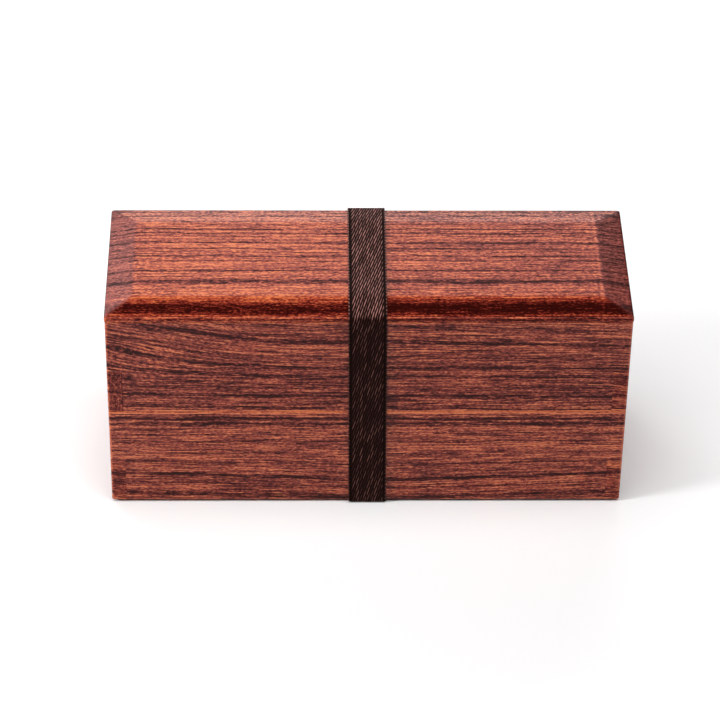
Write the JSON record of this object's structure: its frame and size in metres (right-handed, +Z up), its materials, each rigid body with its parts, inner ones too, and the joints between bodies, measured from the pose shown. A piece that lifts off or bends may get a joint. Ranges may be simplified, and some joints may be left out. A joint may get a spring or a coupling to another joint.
{
  "type": "two-tier lunch box",
  "caption": "Slim stacked wooden box of two open trays under a bevelled lid board, with finger-jointed corners, a loose divider and a flat elastic band looped round its middle.",
  "frame": {"origin": "on the surface the box stands on, under the middle of the box", "axes": "+X along the box to its right end, +Y to its back, +Z up"},
  "size_m": [0.205, 0.0751, 0.0962],
  "materials": {
    "long_board": "wiped red-brown lacquer over open-grained wood, satin",
    "end_board": "wiped red-brown lacquer over open-grained wood, satin",
    "lid_board": "wiped red-brown lacquer over open-grained wood, satin",
    "floor_panel": "wiped red-brown lacquer over open-grained wood, satin",
    "inner_strip": "wiped red-brown lacquer over open-grained wood, satin",
    "elastic_webbing": "dark brown woven twill elastic",
    "sewing_thread": "dark brown sewing thread"
  },
  "bodies": {
    "lower_tier": {"lower_front_board": "long_board", "lower_back_board": "long_board", "lower_left_board": "end_board", "lower_right_board": "end_board", "lower_floor": "floor_panel"},
    "upper_tier": {"upper_front_board": "long_board", "upper_back_board": "long_board", "upper_left_board": "end_board", "upper_right_board": "end_board", "upper_floor": "floor_panel"},
    "lid": {"lid_board": "lid_board", "lid_left_batten": "inner_strip", "lid_right_batten": "inner_strip"},
    "divider": {"divider": "inner_strip"},
    "band": {"elastic_band": "elastic_webbing", "band_stitching": "sewing_thread"}
  },
  "joints": [
    {"name": "upper_tier_lift", "type": "slide", "parent": "lower_tier", "child": "upper_tier", "axis": [0, 0, 1], "range_m": [0, 0.08], "deforming": ["elastic_band"]},
    {"name": "lid_lift", "type": "slide", "parent": "upper_tier", "child": "lid", "axis": [0, 0, 1], "range_m": [0, 0.08], "deforming": ["elastic_band"]},
    {"name": "divider_slide", "type": "slide", "parent": "upper_tier", "child": "divider", "axis": [1, 0, 0], "range_m": [-0.1156, 0.0716]},
    {"name": "band_slide", "type": "slide", "parent": "lower_tier", "child": "band", "axis": [1, 0, 0], "range_m": [-0.118, 0.118]}
  ]
}
